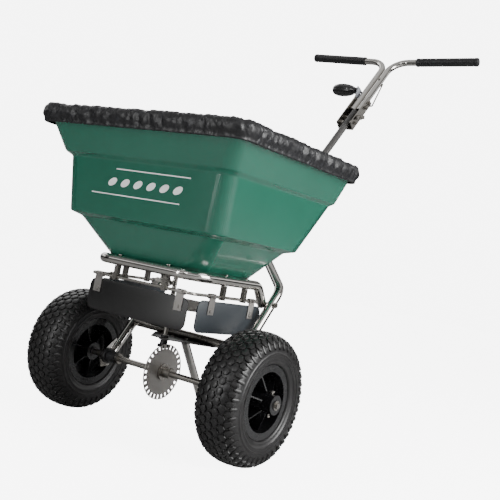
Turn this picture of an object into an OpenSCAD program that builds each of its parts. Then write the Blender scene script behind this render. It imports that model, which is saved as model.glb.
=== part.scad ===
// Push broadcast spreader: hopper on a stainless tube frame, two pneumatic wheels,
// a slotted crown gear on the axle that turns the spinner, three deflector flaps,
// a rate lever on the handle column and a fabric rain cover.
// X is across, +Y runs from the front to the handle, Z is up, the ground is z = 0.

/* [Wheels] */
// Outside diameter of the tyres
tyre_od = 330; // [300:1:360]
// Width of the tyres
tyre_w = 118; // [100:1:130]
// Distance between the middles of the two tyres
track = 578; // [560:1:640]
// Radius of the rim at the tyre bead
bead_r = 78; // [74:1:86]
// Length of the hub beyond the middle of the wheel, on the outside
hub_out = 74; // [62:1:80]
// Outside radius of the wheel hub
hub_r = 24; // [20:1:28]

/* [Axle and drive] */
// Diameter of the axle
axle_d = 16; // [14:1:20]
// Radius of the crown gear on the axle
crown_r = 73; // [71:1:78]
// Radius of the pitch circle through the slots of the crown gear
slot_r = 66; // [66:0.5:67]
// Thickness of the crown gear
crown_t = 3; // [2.5:0.5:4]
// Distance from the middle of the axle line to the crown gear
crown_x = 8; // [4:1:20]
// Diameter of the spinner shaft
shaft_d = 12; // [10:1:13]

/* [Spinner] */
// Radius of the spinner disc
spinner_r = 112; // [90:1:120]
// Height of the spinner disc above the ground
spinner_z = 338; // [325:1:345]
// Height of the spinner vanes
vane_h = 24; // [15:1:28]

/* [Frame] */
// Outside diameter of the frame tubes
tube_d = 25; // [22:1:28]
// Wall of the frame tubes
tube_wall = 1.5; // [1.2:0.1:2.5]
// Distance from the middle to each side tube
frame_x = 190; // [185:1:200]
// Height of the bend of the side tubes
bend_z = 430; // [420:1:440]
// Distance of that bend behind the axle
bend_y = 203; // [190:1:215]
// Height of the axle plates' lower ends below the axle
plate_drop = 38; // [30:1:45]
// Height of the hoop that carries the hopper
hoop_z = 430; // [425:1:435]
// Distance of the stand foot behind the axle
stand_y = 268; // [240:1:300]

/* [Handle] */
// Angle of the handle column above the ground
column_angle = 50.2; // [46:0.1:54]
// Diameter of the handle column
column_d = 22; // [20:1:24]
// Length of the handle column
column_len = 650; // [600:1:700]
// Distance from the column's foot to the grips, along the column
grip_s = 941; // [900:1:980]
// Outside diameter of the grips
grip_d = 30; // [26:1:36]
// Distance from the middle to the outer end of each grip
grip_end = 318; // [280:1:350]
// Length of each grip
grip_len = 218; // [120:1:225]

/* [Hopper] */
// Half the width of the hopper at its rim
rim_x = 318; // [300:1:330]
// Height of the hopper's rim
rim_z = 784; // [760:1:800]
// Radius of the hopper's upright corners
hopper_corner = 36; // [24:1:58]
// Wall of the hopper
hopper_wall = 4; // [3:0.5:6]
// Half the width of the hopper's outlet end
outlet_half = 142; // [130:1:146]
// Height of the hopper's floor
floor_z = 428; // [427:1:432]
// Diameter of each outlet hole
outlet_d = 30; // [20:1:34]

/* [Cover] */
// Depth of the cover's skirt
cover_skirt = 42; // [25:1:60]
// Thickness of the cover's solid
cover_t = 6; // [3:1:8]

/* [Deflector flaps] */
// Height of the flap rod above the ground
rod_z = 388; // [384:1:392]
// Diameter of the flap rod
rod_d = 8; // [6:1:10]
// Height of each flap
flap_h = 80; // [60:1:84]
// Thickness of each flap
flap_t = 4; // [3:0.5:5]
// Width of the flap straps
strap_w = 24; // [18:1:30]

/* [Rate lever] */
// Radius of the lever from its pivot to the knob
lever_r = 66; // [60:1:75]
// Length of the knob
knob_len = 90; // [70:1:95]
// Radius of the knob at its middle
knob_r = 22; // [16:1:23]
// Radius of the crank that pulls the control rod
crank_r = 32; // [26:1:36]
// Angle that the lever sweeps
lever_sweep = 40; // [30:1:44]

/* [Hidden] */
$fn = 48;

fit = 0.05;     // radial clearance of a running fit
gap = 0.3;      // clearance between pieces that move past each other
axle_z = tyre_od / 2;
wheel_x = track / 2;
axle_r = axle_d / 2;
tube_r = tube_d / 2;
grow = 1;       // how far a cutter runs past what it cuts

// Frame points. The side tubes run from the axle plates up to a bend, then to the column.
plate_t = 5;
tube_foot = [0, 18, axle_z + 12];
slope = (bend_y - tube_foot.y) / (bend_z - tube_foot.z);
column_foot = [0, bend_y + 142, bend_z + 117];
side_bend_r = 60;
socket_d = column_d + 8;
socket_len = 110;

// Cross tube, on the side tubes' own line
cross_d = 22;
cross_z = axle_z + 99;
cross_y = tube_foot.y + (cross_z - tube_foot.z) * slope;
bearing_plate_t = 3;
bearing_plate_z = cross_z - cross_d / 2 - bearing_plate_t;

// Hoop that holds the hopper, its arms bolted inside the side tubes
hoop_x = frame_x - tube_d;
hoop_front = 145;
arm_z = hoop_z - 50;
arm_y = tube_foot.y + (arm_z - tube_foot.z) * slope;
hoop_corner = 60;

// Drive: a six-tooth pinion turns in the slots of the crown gear
slots = 28;
pinion_teeth = 6;
pitch_r = slot_r * pinion_teeth / slots;
shaft_x = crown_x - pitch_r;
pinion_z = axle_z + slot_r;
pinion_t = 7;
tooth_tip = pitch_r + 1.9;
tooth_root = 10;
slot_w = 7.4;
slot_l = 11;
shaft_r = shaft_d / 2;
shaft_bottom = pinion_z - 7;
agitator_z = floor_z + 26;
shaft_top = agitator_z + 16;
pinion_hub_top = pinion_z + 15;
bush_flange = 3;
bush_r = shaft_r + 4;

// Column coordinates: X across, Y away from the front, Z along the column from its foot
module on_column(s = 0)
    translate(column_foot) rotate([column_angle - 90, 0, 0]) translate([0, 0, s]) children();

// The row's origin is on the ground under the middle of the whole object
grip_rise = 18;
back_y = column_foot.y + (grip_s + grip_rise) * cos(column_angle) + grip_d / 2;
front_y = -(front_of(rim_z) + cover_t + 2);
mid_y = (front_y + back_y) / 2;
module placed()
    translate([0, -mid_y, 0]) children();

// Hopper outline: half width, front and back at a height
function front_of(z) = 231 + (z - 682) * 0.44;
tier_top = [rim_x, 276, 284];       // half width, front, back at the rim
tier_top_low = [275, 231, 280];     // lower edge of the top tier
tier_mid = [264, 214, 270];         // top of the middle tier
tier_mid_low = [248, 200, 172];     // lower edge of the middle tier
tier_funnel = [226, 178, 150];      // top of the funnel
tier_outlet = [outlet_half, 128, 128];
step_top_z = 682;
step_mid_z = 534;
step_h = 9;

// Places of the outlet holes, on a circle round the spinner shaft
outlet_angles = [-128, -90, -52];
outlet_circle = 62;
base_t = 3;
base_half_y = 120;
base_across = (outlet_half + base_half_y - 20) * sqrt(2);
base_z = floor_z - base_t;
shutter_t = 2.5;
shutter_z = base_z - gap - shutter_t;
shutter_stroke = 2 * crank_r * sin(lever_sweep / 2) / cos(column_angle);

// Lever, in column coordinates
lever_x = -38;
lever_t = 3;
lever_pivot = [8, 689];
crank_pin = lever_pivot + crank_r * [cos(lever_sweep / 2), sin(lever_sweep / 2)];
knob_dir = 18;
knob_at = lever_pivot + lever_r * [-sin(knob_dir), cos(knob_dir)];
rod_wire = 6;

// Flaps hang from the rod below the hoop
flap_front = hoop_front;
flap_drop = 12;
strap_t = 2.5;
flap_half_front = 166;
flap_half_side = 136;
side_flap_y = 24;

function unit(v) = v / norm(v);

// A straight round bar between two points
module bar(a, b, r)
    let (v = b - a, d = unit(v))
    translate(a) rotate([0, acos(d.z), atan2(d.y, d.x)]) cylinder(r = r, h = norm(v));

// A bar that follows a path, with a round bend of its own radius at each point.
// A straight is a hair thinner than the bends and runs a little way into them.
slip = 0.02;
module bent(path, bends, r) {
    last = len(path) - 1;
    turns = [for (i = [0 : last]) i == 0 || i == last ? 0
        : acos(unit(path[i] - path[i - 1]) * unit(path[i + 1] - path[i]))];
    trims = [for (i = [0 : last]) bends[i] * tan(turns[i] / 2)];
    for (i = [0 : last - 1])
        let (u = unit(path[i + 1] - path[i]), into = 25 * slip)
        bar(path[i] + u * (i == 0 ? 0 : trims[i] - into),
            path[i + 1] - u * (i == last - 1 ? 0 : trims[i + 1] - into), r - slip);
    for (i = [1 : last - 1])
        let (u = unit(path[i] - path[i - 1]), v = unit(path[i + 1] - path[i]),
             w = unit(cross(u, v)), out = -cross(w, u), c = path[i] - u * trims[i] - out * bends[i])
        multmatrix([[out.x, u.x, w.x, c.x], [out.y, u.y, w.y, c.y],
                    [out.z, u.z, w.z, c.z], [0, 0, 0, 1]])
            rotate_extrude(angle = turns[i]) translate([bends[i], 0]) circle(r = r);
}

// A hollow tube along a path, open at both ends
module tube(path, bends, r, wall) {
    last = len(path) - 1;
    longer = [for (i = [0 : last])
        i == 0 ? path[0] - unit(path[1] - path[0]) * grow
        : i == last ? path[i] + unit(path[i] - path[i - 1]) * grow
        : path[i]];
    difference() {
        bent(path, bends, r);
        bent(longer, bends, r - wall);
    }
}

module along_x(x, y, z, r, l) translate([x, y, z]) rotate([0, 90, 0]) cylinder(r = r, h = l);
module along_y(x, y, z, r, l) translate([x, y, z]) rotate([-90, 0, 0]) cylinder(r = r, h = l);
module hex_x(x, y, z, r, l) translate([x, y, z]) rotate([0, 90, 0]) cylinder(r = r, h = l, $fn = 6);

// ---- Frame ----

side_path = [
    [frame_x, tube_foot.y, tube_foot.z],
    [frame_x, bend_y, bend_z],
    [0, column_foot.y, column_foot.z]
];

// The flattened lower end of a side tube, drilled for the axle bearing
module axle_plate()
    translate([frame_x - plate_t / 2, 0, axle_z])
    multmatrix([[0, 0, 1, 0], [1, 0, 0, 0], [0, 1, 0, 0], [0, 0, 0, 1]])
    rotate([0, 0, atan(1 / slope)])
    linear_extrude(plate_t) difference() {
        polygon([[-plate_drop, 0], [-plate_drop / 2, 21], [0, 24], [28, 19], [52, 12],
                 [52, -12], [28, -19], [0, -24], [-plate_drop / 2, -21]]);
        circle(r = bearing_r + fit);
    }

module side_tube() {
    difference() {
        tube(side_path, [0, side_bend_r, 0], tube_r, tube_wall);
        on_column(-socket_len) cylinder(r = socket_d / 2 + 0.1, h = 3 * socket_len);
        along_x(hoop_x - tube_r, arm_y, arm_z + 8, bolt_r + 0.1, 2 * tube_d + 4);
        along_x(frame_x - tube_d, 0, axle_z, bearing_r + 3, 2 * tube_d);
    }
    difference() {
        axle_plate();
        on_column(-socket_len) cylinder(r = socket_d / 2, h = 3 * socket_len);
    }
}

module side_tube_right() color("gainsboro") placed() side_tube();
module side_tube_left() color("gainsboro") placed() mirror([1, 0, 0]) side_tube();

module cross_tube() color("silver") placed() difference() {
    along_x(-frame_x, cross_y, cross_z, cross_d / 2, 2 * frame_x);
    along_x(-frame_x - grow, cross_y, cross_z, cross_d / 2 - tube_wall, 2 * (frame_x + grow));
    for (s = [-1, 1]) {
        a = [s * frame_x, tube_foot.y, tube_foot.z];
        b = [s * frame_x, bend_y, bend_z];
        bar(a, b, tube_r + 0.1);
    }
}

bolt_r = 4;
hoop_path = [
    [hoop_x, arm_y, arm_z],
    [hoop_x, arm_y - 38, hoop_z],
    [hoop_x, -hoop_front, hoop_z],
    [-hoop_x, -hoop_front, hoop_z],
    [-hoop_x, arm_y - 38, hoop_z],
    [-hoop_x, arm_y, arm_z]
];
tab_t = 3;
tab_z = base_z - tab_t;
tab_places = [[-1, -1], [1, -1], [-1, 1], [1, 1]];
tab_x = outlet_half - 16;
tab_y = 84;

hoop_bends = [0, 28, hoop_corner, hoop_corner, 28, 0];

module support_hoop() color("gainsboro") placed() {
    difference() {
        tube(hoop_path, hoop_bends, tube_r, tube_wall);
        for (s = [-1, 1])
            along_x(s * hoop_x - tube_d / 2 - 2, arm_y, arm_z + 8, bolt_r + 0.1, tube_d + 4);
        for (p = hanger_places)
            translate([p.x, p.y, hoop_z - tube_d]) cylinder(r = hanger_bolt_r + 0.1, h = 2 * tube_d);
    }
    // Welded tabs that carry the hopper's base
    for (p = tab_places)
        difference() {
            translate([p.x > 0 ? tab_x - 14 : -hoop_x + 3, p.y * tab_y - 12, tab_z])
                cube([hoop_x - 3 - tab_x + 14, 24, tab_t]);
            translate([p.x * tab_x, p.y * tab_y, tab_z - grow])
                cylinder(r = bolt_r + 0.1, h = tab_t + 2 * grow);
        }
}

// Bolts that hold the hoop's arms, the stand and the hopper's base
stand_flange = [34, 46, 3];
stand_bolt = [22, cross_y - 25];
module frame_bolts() color("silver") placed() {
    for (s = [-1, 1]) mirror([s < 0 ? 1 : 0, 0, 0]) {
        along_x(hoop_x - tube_r - 6, arm_y, arm_z + 8, bolt_r, 2 * tube_d + 12);
        hex_x(hoop_x - tube_r - 8, arm_y, arm_z + 8, 7.5, 6);
        hex_x(frame_x + tube_r + 0.2, arm_y, arm_z + 8, 7.5, 7);
    }
    for (s = [-1, 1])
        translate([s * stand_bolt.x, stand_bolt.y, bearing_plate_z - stand_flange.z - 5]) {
            cylinder(r = 3, h = 5 + stand_flange.z + bearing_plate_t + 5);
            cylinder(r = 5.5, h = 4.8, $fn = 6);
            translate([0, 0, 5.2 + stand_flange.z + bearing_plate_t]) cylinder(r = 5.5, h = 4.5, $fn = 6);
        }
    for (p = tab_places)
        translate([p.x * tab_x, p.y * tab_y, tab_z - 5]) {
            cylinder(r = 3, h = 5 + tab_t + base_t + hopper_wall + 4);
            cylinder(r = 5.5, h = 4.9, $fn = 6);
            translate([0, 0, 5.1 + tab_t + base_t + hopper_wall]) cylinder(r = 6.5, h = 3);
        }
}

module column_socket() color("gainsboro") placed() difference() {
    on_column(-40) cylinder(r = socket_d / 2, h = socket_len);
    on_column(-40 - grow) cylinder(r = column_d / 2 + 0.1, h = socket_len + 2 * grow);
    on_column(50) along_x(-socket_d, 0, 0, 3.1, 2 * socket_d);
}

module handle_column() color("dimgray") placed() difference() {
    on_column(-36) cylinder(r = column_d / 2, h = column_len + 36);
    on_column(-36 - grow) cylinder(r = column_d / 2 - tube_wall, h = column_len + 36 + 2 * grow);
    on_column(50) along_x(-column_d, 0, 0, 3.1, 2 * column_d);
    on_column(wing_s) along_x(-column_d, 0, 0, 3.1, 2 * column_d);
    on_column(rivet_s) along_x(-column_d, 0, 0, 3.1, 2 * column_d);
}

// Plate under the cross tube that carries the spinner shaft's lower bush
stand_top = [0, cross_y - 4, bearing_plate_z];
module bearing_plate() color("dimgray") placed() difference() {
    translate([0, 0, bearing_plate_z]) linear_extrude(bearing_plate_t)
        polygon([[-100, cross_y + 12], [100, cross_y + 12], [100, cross_y - 10], [shaft_x + 30, -20],
                 [shaft_x - 30, -20], [-100, cross_y - 10]]);
    translate([shaft_x, 0, bearing_plate_z - grow])
        cylinder(r = bush_r + fit, h = bearing_plate_t + 2 * grow);
    for (s = [-1, 1])
        translate([s * stand_bolt.x, stand_bolt.y, bearing_plate_z - grow])
            cylinder(r = 3.1, h = bearing_plate_t + 2 * grow);
}

lower_bush_bottom = bearing_plate_z - bush_flange;
module lower_shaft_bush() color("black") placed() translate([shaft_x, 0, lower_bush_bottom]) difference() {
    union() {
        cylinder(r = bush_r, h = bush_flange + bearing_plate_t + 6);
        cylinder(r = bush_r + 5, h = bush_flange);
    }
    translate([0, 0, -grow]) cylinder(r = shaft_r + fit, h = 30);
}

// The upper bush hangs under the hopper's base
module upper_shaft_bush() color("black") placed() translate([shaft_x, 0, base_z - 9]) difference() {
    union() {
        cylinder(r = bush_r, h = 9 + base_t - 0.1);
        cylinder(r = bush_r + 3, h = 5);
    }
    translate([0, 0, -grow]) cylinder(r = shaft_r + fit, h = 30);
}

stand_dir = unit([0, stand_y - stand_top.y, -stand_top.z]);
stand_r = 11;
module stand_line(from, to, r)
    bar([0, stand_top.y, stand_top.z] + stand_dir * from, [0, stand_top.y, stand_top.z] + stand_dir * to, r);
stand_len = norm([stand_y - stand_top.y, stand_top.z]);

module stand_leg() color("gainsboro") placed() {
    difference() {
        stand_line(-30, stand_len - 16, stand_r);
        stand_line(-31, stand_len - 15, stand_r - tube_wall);
        translate([-50, 0, stand_top.z - stand_flange.z]) cube([100, 200, 60]);
    }
    translate([-stand_flange.x, stand_bolt.y - 9, stand_top.z - stand_flange.z])
        difference() {
            cube([2 * stand_flange.x, stand_flange.y, stand_flange.z]);
            for (s = [-1, 1])
                translate([stand_flange.x + s * stand_bolt.x, 9, -grow])
                    cylinder(r = 3.1, h = stand_flange.z + 2 * grow);
        }
}

module stand_foot() color("black") placed() difference() {
    stand_line(stand_len - 48, stand_len + 20, stand_r + 4);
    stand_line(stand_len - 49, stand_len - 15.8, stand_r + 0.1);
    translate([-50, stand_y - 100, -60]) cube([100, 200, 60]);
}

bearing_r = axle_r + 7;
bearing_in = 36;
bearing_out = 13;
module axle_bearing() difference() {
    union() {
        along_x(frame_x - bearing_in, 0, axle_z, bearing_r, bearing_in + bearing_out);
        along_x(frame_x - plate_t / 2 - 6.1, 0, axle_z, bearing_r + 6, 6);
    }
    along_x(frame_x - bearing_in - grow, 0, axle_z, axle_r + fit, 80);
}
module axle_bearing_right() color("black") placed() axle_bearing();
module axle_bearing_left() color("black") placed() mirror([1, 0, 0]) axle_bearing();

// ---- Hopper ----

// A thin slab of the hopper's outline: half width, front and back, with round corners
module outline(tier, z, inset, corner)
    translate([0, 0, z]) linear_extrude(0.01)
    hull() for (sx = [-1, 1]) for (y = [-tier[1] + inset + corner, tier[2] - inset - corner])
        translate([sx * (tier[0] - inset - corner), y]) circle(r = corner, $fn = 40);

// Wider corners at the floor, which clear the bends of the hoop
floor_corner = 62;
module hopper_body(inset, drop) {
    hull() {
        outline(tier_top, rim_z + (inset > 0 ? grow : 0), inset, hopper_corner - inset);
        outline(tier_top_low, step_top_z + drop, inset, hopper_corner - inset);
    }
    hull() {
        outline(tier_top_low, step_top_z + drop, inset, hopper_corner - inset);
        outline(tier_mid, step_top_z - step_h + drop, inset, hopper_corner - inset);
    }
    hull() {
        outline(tier_mid, step_top_z - step_h + drop, inset, hopper_corner - inset);
        outline(tier_mid_low, step_mid_z + drop, inset, hopper_corner - inset);
    }
    hull() {
        outline(tier_mid_low, step_mid_z + drop, inset, hopper_corner - inset);
        outline(tier_funnel, step_mid_z - step_h + drop, inset, hopper_corner - inset);
    }
    hull() {
        outline(tier_funnel, step_mid_z - step_h + drop, inset, hopper_corner - inset);
        outline(tier_outlet, floor_z + (inset > 0 ? hopper_wall : 0), inset, floor_corner - inset);
    }
}

module outlet_holes(r, z, h)
    for (a = outlet_angles)
        translate([shaft_x + outlet_circle * cos(a), outlet_circle * sin(a), z]) cylinder(r = r, h = h);

module hopper() color("seagreen") placed() difference() {
    hopper_body(0, 0);
    hopper_body(hopper_wall, hopper_wall * 0.4);
    outlet_holes(outlet_d / 2 + 2, floor_z - grow, hopper_wall + 2 * grow);
    translate([shaft_x, 0, floor_z - grow]) cylinder(r = bush_r + 6, h = hopper_wall + 2 * grow);
    for (p = tab_places)
        translate([p.x * tab_x, p.y * tab_y, floor_z - grow])
            cylinder(r = 3.1, h = hopper_wall + 2 * grow);
}

module hopper_base() color("gainsboro") placed() difference() {
    translate([0, 0, base_z]) linear_extrude(base_t - 0.05) intersection() {
        square([2 * outlet_half, 2 * base_half_y], center = true);
        rotate(45) square(base_across, center = true);
    }
    outlet_holes(outlet_d / 2, base_z - grow, base_t + 2 * grow);
    translate([shaft_x, 0, base_z - grow]) cylinder(r = bush_r + fit, h = base_t + 2 * grow);
    for (p = tab_places)
        translate([p.x * tab_x, p.y * tab_y, base_z - grow]) cylinder(r = 3.1, h = base_t + 2 * grow);
}

// Two rails welded under the base, which the shutter slides in
guide_x = 70;
guide_front = -118;
guide_len = 190;
module shutter_guides() color("gray") placed()
    for (s = [-1, 1]) mirror([s < 0 ? 1 : 0, 0, 0]) {
        translate([guide_x + gap, guide_front, shutter_z - gap])
            cube([14, guide_len, base_z - shutter_z + gap - 0.05]);
        translate([guide_x - 8, guide_front, shutter_z - gap - 2]) cube([22 + gap, guide_len, 2]);
    }

// ---- Handle ----

bar_r = 11;
bar_x = 12;
bar_s0 = column_len + 6;
bar_bend = 62;
wing_s = 622;
rivet_s = 592;
bar_bolt_s = [column_len + 26, column_len + 52];

module handlebar_path() {
    p = [[bar_x, 0, bar_s0], [bar_x, 0, grip_s], [grip_end - 3, 0, grip_s + grip_rise]];
    difference() {
        tube(p, [0, bar_bend, 0], bar_r, tube_wall);
        for (s = bar_bolt_s) along_x(-bar_r, 0, s, 3.1, 5 * bar_r);
        along_y(bar_x, -2 * bar_r, stay_top_s, 2.1, 4 * bar_r);
    }
}
module handlebar_right() color("gainsboro") placed() on_column() handlebar_path();
module handlebar_left() color("gainsboro") placed() on_column() mirror([1, 0, 0]) handlebar_path();

module grip_shape() {
    a = [bar_x, 0, grip_s];
    b = [grip_end - 3, 0, grip_s + grip_rise];
    u = unit(b - a);
    difference() {
        bar(b + u * 3 - u * grip_len, b + u * 3, grip_d / 2);
        bar(b - u * (grip_len + 9), b + u * 0.2, bar_r + 0.1);
    }
}
module grip_right() color("black") placed() on_column() grip_shape();
module grip_left() color("black") placed() on_column() mirror([1, 0, 0]) grip_shape();

// Folded channel round the column's end and the two bars
bracket_x = bar_x + bar_r + 1;
bracket_s = [572, 716];
bracket_t = 3;
module handle_bracket() color("silver") placed() on_column() difference() {
    union() {
        for (s = [-1, 1])
            translate([s > 0 ? bracket_x : -bracket_x - bracket_t, -17, bracket_s[0]])
                cube([bracket_t, 32, bracket_s[1] - bracket_s[0]]);
        translate([-bracket_x - bracket_t, 12, bracket_s[0]])
            cube([2 * (bracket_x + bracket_t), bracket_t, bracket_s[1] - bracket_s[0]]);
    }
    for (s = concat(bar_bolt_s, [wing_s, rivet_s])) along_x(-50, 0, s, 3.1, 100);
    along_x(-50, lever_pivot.x, lever_pivot.y, 4 + fit, 50);
}

// Spacers inside the channel hold the thinner column, and bolts pass through the lot
module handle_bolts() color("silver") placed() {
    on_column(50) {
        along_x(-socket_d / 2 - 5, 0, 0, 3, socket_d + 10);
        hex_x(-socket_d / 2 - 4.8, 0, 0, 5.5, 4.5);
        hex_x(socket_d / 2 + 0.3, 0, 0, 5.5, 4.5);
    }
    on_column() {
        for (s = concat(bar_bolt_s, [rivet_s])) {
            along_x(-bracket_x - 4, 0, s, 3, 2 * bracket_x + 16);
            hex_x(-bracket_x - bracket_t - 2.8, 0, s, 5.5, 2.7);
            hex_x(bracket_x + bracket_t + 0.1, 0, s, 5.5, 4.5);
        }
        for (x = [-bracket_x + 0.1, column_d / 2 + 0.1])
            difference() {
                along_x(x, 0, rivet_s, 7, bracket_x - column_d / 2 - 0.2);
                along_x(x - grow, 0, rivet_s, 3.1, 20);
            }
    }
}

module handle_wing_bolt() color("silver") placed() on_column() {
    along_x(-bracket_x - 6, 0, wing_s, 3, 2 * bracket_x + 22);
    hex_x(-bracket_x - bracket_t - 4.6, 0, wing_s, 5.5, 4.5);
    along_x(bracket_x + bracket_t + 0.1, 0, wing_s, 8, 12);
    for (a = [0, 180])
        translate([bracket_x + 11, 0, wing_s]) rotate([a + 55, 0, 0])
            translate([-2, 5, -6]) cube([4, 20, 12]);
}

// Thin rod clipped beside the right bar
stay_top_s = 826;
stay_r = 2.5;
stay_x = bracket_x + 10.6;
module handle_stay() color("silver") placed() on_column() {
    difference() {
        union() {
            bent([[stay_x, 0, 684], [stay_x, 14, 706], [bar_x + 3, 16, stay_top_s + 8]],
                 [0, 12, 0], stay_r);
            along_x(bracket_x + bracket_t + 4.8, 0, bar_bolt_s[0], 6, 3.4);
            bar([stay_x, 0, 685], [stay_x, 0, bar_bolt_s[0] + 2], stay_r);
        }
        along_x(bracket_x, 0, bar_bolt_s[0], 3.1, 20);
    }
    along_y(bar_x, -bar_r - 4, stay_top_s, 2, 2 * bar_r + 12);
    along_y(bar_x, -bar_r - 4.5, stay_top_s, 4, 4);
}

// Sector plate with an arc slot for the rate stop
scale_x = -bracket_x - bracket_t - 3 - 0.1;
scale_t = 3;
scale_r = 74;
slot_arc_r = 64;
stop_angle = 90 + knob_dir - lever_sweep - 14;
slot_ends = [stop_angle - 5, stop_angle + lever_sweep + 6];
module wedge(from, to, r)
    polygon([[0, 0], for (i = [0 : 4]) let (a = from + (to - from) * i / 4) 2 * r * [cos(a), sin(a)]]);
module rate_scale() color("lightgray") placed() on_column()
    side_plate(scale_x, scale_t) difference() {
        translate(lever_pivot) difference() {
            union() {
                intersection() {
                    circle(r = scale_r);
                    wedge(slot_ends[0] - 8, slot_ends[1] + 24, scale_r);
                }
                circle(r = 14);
                translate([-20, -38]) square([27, 33]);
            }
            circle(r = 4 + fit);
            intersection() {
                difference() {
                    circle(r = slot_arc_r + 2.6);
                    circle(r = slot_arc_r - 2.6);
                }
                wedge(slot_ends[0], slot_ends[1], scale_r);
            }
        }
        for (s = bar_bolt_s) translate([0, s]) circle(r = 8);
    }

// ---- Flap rod ----

rod_r = rod_d / 2;
rod_corner = 15;
rod_back = arm_y - 34;
flap_rod_x = hoop_x;
flap_rod_path = [
    [flap_rod_x, rod_back, rod_z], [flap_rod_x, -flap_front, rod_z],
    [-flap_rod_x, -flap_front, rod_z], [-flap_rod_x, rod_back, rod_z]
];
module flap_rod() color("silver") placed() bent(flap_rod_path, [0, rod_corner, rod_corner, 0], rod_r);

// Blocks that hang the rod under the hoop
hanger_bolt_r = 2.5;
hanger_places = [[-80, -hoop_front, 0], [80, -hoop_front, 0], [hoop_x, -20, 90], [hoop_x, 72, 90],
                 [-hoop_x, -20, 90], [-hoop_x, 72, 90]];
hanger_w = 12;
module rod_hangers() color("silver") placed()
    for (p = hanger_places)
        difference() {
            translate([p.x - hanger_w / 2, p.y - hanger_w / 2, rod_z - rod_r - 3])
                cube([hanger_w, hanger_w, hoop_z - tube_r - 0.2 - rod_z + rod_r + 3]);
            if (p.z == 0) along_x(p.x - 20, p.y, rod_z, rod_r + 0.05, 40);
            else along_y(sign(p.x) * flap_rod_x, p.y - 20, rod_z, rod_r + 0.05, 40);
            translate([p.x, p.y, rod_z + rod_r + 1]) cylinder(r = hanger_bolt_r + 0.05, h = 60);
        }
module hanger_bolts() color("silver") placed()
    for (p = hanger_places)
        translate([p.x, p.y, rod_z + rod_r + 2]) {
            cylinder(r = hanger_bolt_r, h = hoop_z + tube_r + 3 - rod_z - rod_r - 2);
            translate([0, 0, hoop_z + tube_r + 0.2 - rod_z - rod_r - 2]) cylinder(r = 5, h = 3);
        }

// ---- Axle and wheels ----

axle_half = wheel_x + hub_out + 0.5;
pin_x = wheel_x + hub_out - 16;
end_washer = 2;
end_hole = 12;
module drive_axle() color("gray") placed() difference() {
    along_x(-axle_half, 0, axle_z, axle_r, 2 * axle_half);
    for (s = [-1, 1]) along_x(s > 0 ? axle_half - end_hole : -axle_half - 2, 0, axle_z, 4.05, end_hole + 2);
    translate([pin_x, 0, axle_z - 20]) cylinder(r = 3.05, h = 40);
}

module axle_end_bolts() color("silver") placed()
    for (s = [-1, 1]) mirror([s < 0 ? 1 : 0, 0, 0]) {
        along_x(axle_half - end_hole + 1, 0, axle_z, 4, end_hole + 3);
        along_x(axle_half + 0.1, 0, axle_z, 12, end_washer);
        hex_x(axle_half + end_washer + 0.1, 0, axle_z, 7.5, 5);
    }

// Split collars beside the wheels and the bearings
collar_w = 10;
collar_at = [frame_x - bearing_in - collar_w - 1, -frame_x - bearing_out - collar_w - 1,
             frame_x + bearing_out + 1, -frame_x + bearing_in + 1];
module axle_collars() color("silver") placed()
    for (x = collar_at)
        difference() {
            along_x(x, 0, axle_z, axle_r + 6, collar_w);
            along_x(x - grow, 0, axle_z, axle_r + fit, collar_w + 2 * grow);
            translate([x + collar_w / 2, 0, axle_z]) cylinder(r = 2, h = 30);
        }

module crown_gear() color("silver") placed() translate([crown_x - crown_t / 2, 0, axle_z])
    rotate([0, 90, 0]) difference() {
        cylinder(r = crown_r, h = crown_t, $fn = 96);
        translate([0, 0, -grow]) cylinder(r = axle_r + fit, h = crown_t + 2 * grow);
        for (i = [0 : slots - 1]) rotate([0, 0, i * 360 / slots])
            translate([slot_r - slot_l / 2, -slot_w / 2, -grow]) cube([slot_l, slot_w, crown_t + 2 * grow]);
    }

hub_x = crown_x + crown_t / 2 + 0.05;
hub_len = 28;
module gear_hub() color("silver") placed() difference() {
    union() {
        along_x(hub_x, 0, axle_z, axle_r + 5, hub_len);
        along_x(hub_x, 0, axle_z, axle_r + 14, 6);
        translate([hub_x + 10, 0, axle_z - 8]) cube([12, 20, 16]);
    }
    along_x(hub_x - grow, 0, axle_z, axle_r + fit, hub_len + 2 * grow);
    translate([hub_x + 16, 15.5, axle_z - 20]) cylinder(r = 3.05, h = 40);
}
module gear_clamp_bolt() color("silver") placed() translate([hub_x + 16, 15.5, axle_z - 14]) {
    cylinder(r = 3, h = 27);
    cylinder(r = 5.5, h = 5.8, $fn = 6);
    translate([0, 0, 22.2]) cylinder(r = 5.5, h = 4.8, $fn = 6);
}

// Wheel parts about the wheel's own middle, with +X outwards
rim_half = 44;
rim_wall = 3.5;
web_t = 6;
rib_t = 3.5;
ribs = 6;
flange_r = bead_r + 14;
hub_in = 46;
tyre_r = tyre_od / 2;
module spun(points) rotate([0, 90, 0]) rotate_extrude($fn = 96) polygon(points);

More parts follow.
